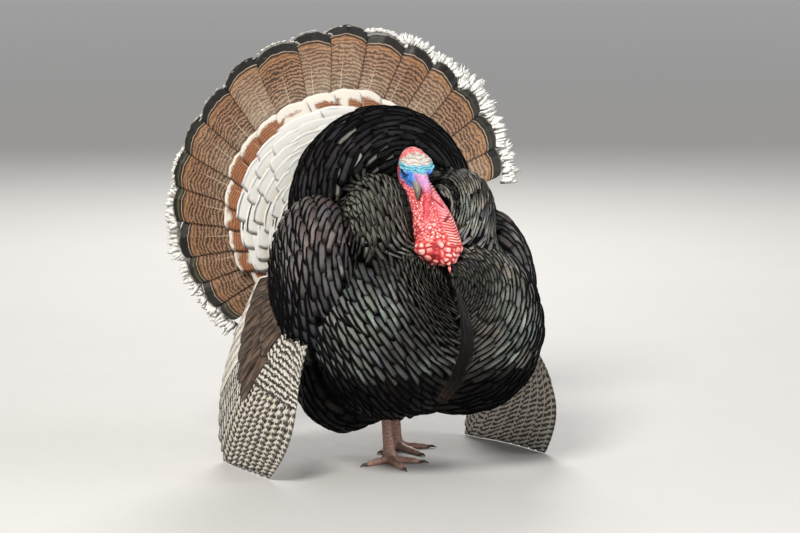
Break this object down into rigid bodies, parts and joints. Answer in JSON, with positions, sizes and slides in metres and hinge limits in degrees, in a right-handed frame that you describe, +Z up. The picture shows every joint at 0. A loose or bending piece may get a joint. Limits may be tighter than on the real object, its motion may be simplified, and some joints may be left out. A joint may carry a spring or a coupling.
{
  "type": "wild turkey",
  "caption": "Life-size still model of a strutting wild turkey gobbler with its tail fanned, feathers puffed and wings drooped to the floor.",
  "frame": {"origin": "middle of the whole outline in X and Y, on the floor the feet and wing tips stand on", "axes": "+Z up, the bird faces -Y, its left side is towards +X"},
  "size_m": [0.6532, 0.5288, 0.7601],
  "materials": {
    "breast_feather": "glossy bronze-grey feathers with black edges",
    "black_feather": "glossy black feathers with a faint green and bronze sheen",
    "brown_feather": "satin dark brown wing feathers",
    "barred_feather": "dull white and black-brown barred wing feathers",
    "tail_feather": "dull chestnut tail feathers with dark wavy bars, a black band and pale tips",
    "pale_feather": "dull cream and white feathers with thin black lines and chestnut tips",
    "face_skin": "moist bumpy skin, pink crown, white band and blue face",
    "wattle_skin": "moist wrinkled red skin",
    "leg_skin": "dry scaly pinkish brown skin",
    "horn": "polished grey-brown horn",
    "eye": "wet dark brown",
    "beard_bristle": "satin black bristles"
  },
  "bodies": {
    "root": {"ruff": "breast_feather", "mantle": "black_feather", "breast": "breast_feather", "rump": "black_feather", "belly": "black_feather", "wing_right_shoulder": "breast_feather", "wing_right_secondaries": "brown_feather", "wing_right_primaries": "barred_feather", "wing_left_shoulder": "breast_feather", "wing_left_secondaries": "brown_feather", "wing_left_primaries": "barred_feather", "tail_fan": "tail_feather", "tail_coverts": "pale_feather", "tail_under_coverts": "pale_feather", "head": "face_skin", "neck": "wattle_skin", "caruncles": "wattle_skin", "snood": "wattle_skin", "bill_upper": "horn", "bill_lower": "horn", "eye_right": "eye", "eye_left": "eye", "leg_right": "leg_skin", "foot_right": "leg_skin", "spur_right": "horn", "claw_right_inner": "horn", "claw_right_middle": "horn", "claw_right_outer": "horn", "claw_right_hind": "horn", "leg_left": "leg_skin", "foot_left": "leg_skin", "spur_left": "horn", "claw_left_inner": "horn", "claw_left_middle": "horn", "claw_left_outer": "horn", "claw_left_hind": "horn", "beard": "beard_bristle"}
  },
  "joints": []
}
